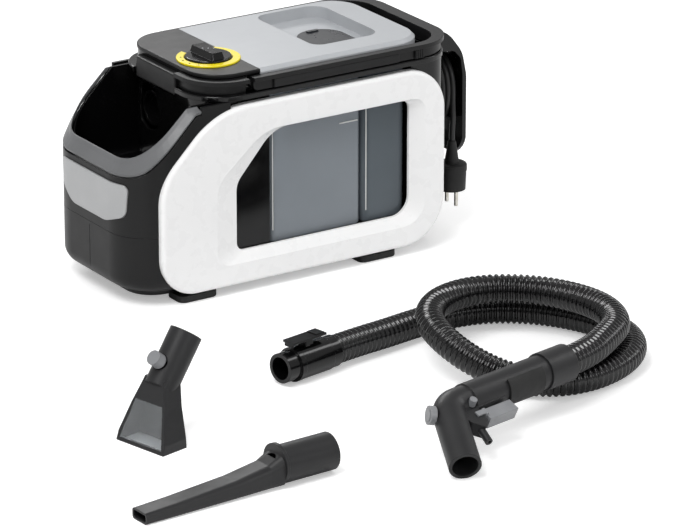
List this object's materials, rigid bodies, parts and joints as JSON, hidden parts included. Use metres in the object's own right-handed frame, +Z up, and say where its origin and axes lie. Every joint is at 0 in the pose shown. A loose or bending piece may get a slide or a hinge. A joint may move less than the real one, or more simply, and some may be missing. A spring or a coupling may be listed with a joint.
{
  "type": "carpet cleaner machine",
  "caption": "Compact portable carpet and upholstery cleaner with removable tanks, fold-up handle, suction hose with trigger grip and two nozzles",
  "frame": {"origin": "on the floor, at the middle pad under the base, in the machine's middle plane, 187 mm behind the nose's tip", "axes": "+Z up, -X towards the nose with the storage well, +X towards the cord end, -Y the window side that faces the laid-out hose and tools"},
  "size_m": [0.7661, 0.7891, 0.2657],
  "materials": {
    "black_satin": "fine satin moulded plastic",
    "black_gloss": "polished moulded plastic",
    "black_matte": "soft matte grip",
    "rubber_black": "matte rubber",
    "steel_screw": "zinc plated",
    "steel_pin": "ground steel",
    "trim_grey": "satin grey plastic",
    "trim_silver": "satin silver plastic",
    "white_gloss": "semi-gloss white plastic",
    "grey_inner": "moulded plastic, unseen",
    "yellow_ring": "semi-gloss yellow plastic",
    "board_green": "coated board",
    "cord_black": "smooth cable sheath",
    "brass_pin": "nickel on brass",
    "tank_clear": "clear smoke-grey plastic",
    "tank_smoke": "darker smoke-grey plastic",
    "lid_grey": "satin light grey plastic",
    "cap_dark": "satin plastic",
    "float_white": "foam filled plastic",
    "motor_steel": "drawn steel can",
    "hose_black": "glossy corrugated plastic",
    "grip_dark": "fine satin moulded plastic",
    "button_grey": "satin grey plastic",
    "window_clear": "clear plastic"
  },
  "bodies": {
    "base": {"base_pan": "black_satin", "rubber_feet": "rubber_black", "housing_screws": "steel_screw", "tank_tray": "black_satin", "nose_bumper": "black_satin", "front_housing": "black_satin", "storage_well": "black_gloss", "well_trim": "trim_grey", "badge_plate": "trim_silver", "side_panel_front": "white_gloss", "side_panel_rear": "white_gloss", "tower_shell": "black_gloss", "hose_port": "black_gloss", "suction_duct": "grey_inner", "control_plate": "black_satin", "dial_ring": "yellow_ring", "selector_switch": "grey_inner", "circuit_board": "board_green", "top_deck": "black_gloss", "tower_rim": "black_satin", "handle_pivot_pins": "steel_pin", "end_cover": "black_gloss", "cord_hook": "black_gloss", "cable_gland": "rubber_black", "cord_coil": "cord_black", "mains_cord_ends": "cord_black", "mains_plug": "rubber_black", "plug_pins": "brass_pin", "motor_mount": "grey_inner", "vacuum_motor": "motor_steel", "fan_housing": "grey_inner", "pump_body": "grey_inner", "water_line": "rubber_black"},
    "handle": {"carry_handle": "black_satin", "handle_grips": "black_matte"},
    "dial": {"dial_knob": "black_gloss"},
    "tanks": {"fresh_water_tank": "tank_clear", "waste_water_tank": "tank_smoke", "tank_outlet_valve": "grey_inner", "tank_lid": "lid_grey", "lid_seal": "rubber_black", "float_cage": "grey_inner"},
    "cap": {"filler_cap": "cap_dark"},
    "float": {"float_valve": "float_white"},
    "rotor": {"motor_shaft": "steel_pin", "fan_impeller": "grey_inner"},
    "plunger": {"pump_plunger": "steel_pin"},
    "hose_set": {"hose_connector": "black_gloss", "suction_hose": "hose_black", "grip_body": "grip_dark", "grip_cuff": "grip_dark", "grip_pad": "rubber_black"},
    "latch": {"connector_latch": "black_satin"},
    "trigger": {"spray_trigger": "button_grey"},
    "release": {"tool_release_button": "button_grey"},
    "lock_button": {"steam_lock_button": "button_grey"},
    "nozzle": {"nozzle_body": "grip_dark", "nozzle_window": "window_clear"},
    "nozzle_catch": {"nozzle_button": "button_grey"},
    "crevice": {"crevice_tool": "grip_dark"}
  },
  "joints": [
    {"name": "handle_fold", "type": "hinge", "parent": "base", "child": "handle", "pos_m": [-0.027, 0, 0.239], "axis": [0, -1, 0], "range_deg": [0, 95]},
    {"name": "dial_turn", "type": "hinge", "parent": "base", "child": "dial", "pos_m": [-0.046, -0.025, 0.25], "axis": [0, 0, -1], "range_deg": [0, 90]},
    {"name": "tank_lift", "type": "slide", "parent": "base", "child": "tanks", "axis": [0, 0, 1], "range_m": [0, 0.25]},
    {"name": "cap_flap", "type": "hinge", "parent": "tanks", "child": "cap", "pos_m": [0.12, -0.0495, 0.243], "axis": [1, 0, 0], "range_deg": [0, 82]},
    {"name": "float_rise", "type": "slide", "parent": "tanks", "child": "float", "axis": [0, 0, 1], "range_m": [0, 0.055]},
    {"name": "motor_spin", "type": "hinge", "parent": "base", "child": "rotor", "pos_m": [-0.046, -0.042, 0.13], "axis": [0, 0, 1], "continuous": true},
    {"name": "pump_stroke", "type": "slide", "parent": "base", "child": "plunger", "axis": [0, 0, -1], "range_m": [0, 0.005]},
    {"name": "hose_set_lift", "type": "slide", "parent": "base", "child": "hose_set", "axis": [0, 0, 1], "range_m": [0, 0.3]},
    {"name": "latch_press", "type": "hinge", "parent": "hose_set", "child": "latch", "pos_m": [-0.12866, -0.35023, 0.0406], "axis": [-0.1935, 0.9811, 0], "range_deg": [0, 3.5], "stiffness_Nm_per_rad": 0.15, "springref_deg": -2.86},
    {"name": "trigger_pull", "type": "hinge", "parent": "hose_set", "child": "trigger", "pos_m": [-0.0944, -0.62455, 0.0367], "axis": [0.0753, -0.4178, 0.9054], "range_deg": [0, 3.5], "stiffness_Nm_per_rad": 0.4, "springref_deg": -8.59},
    {"name": "release_press", "type": "slide", "parent": "hose_set", "child": "release", "axis": [0.9469, -0.2547, -0.1963], "range_m": [0, 0.0015], "stiffness_N_per_m": 300, "springref_m": -0.002},
    {"name": "lock_press", "type": "slide", "parent": "hose_set", "child": "lock_button", "axis": [-0.0753, 0.4178, -0.9054], "range_m": [0, 0.0012], "stiffness_N_per_m": 300, "springref_m": -0.002},
    {"name": "nozzle_lift", "type": "slide", "parent": "base", "child": "nozzle", "axis": [0, 0, 1], "range_m": [0, 0.3]},
    {"name": "nozzle_catch_press", "type": "slide", "parent": "nozzle", "child": "nozzle_catch", "axis": [0.7629, 0.1817, -0.6205], "range_m": [0, 0.002], "stiffness_N_per_m": 300, "springref_m": -0.002},
    {"name": "crevice_lift", "type": "slide", "parent": "base", "child": "crevice", "axis": [0, 0, 1], "range_m": [0, 0.3]}
  ]
}
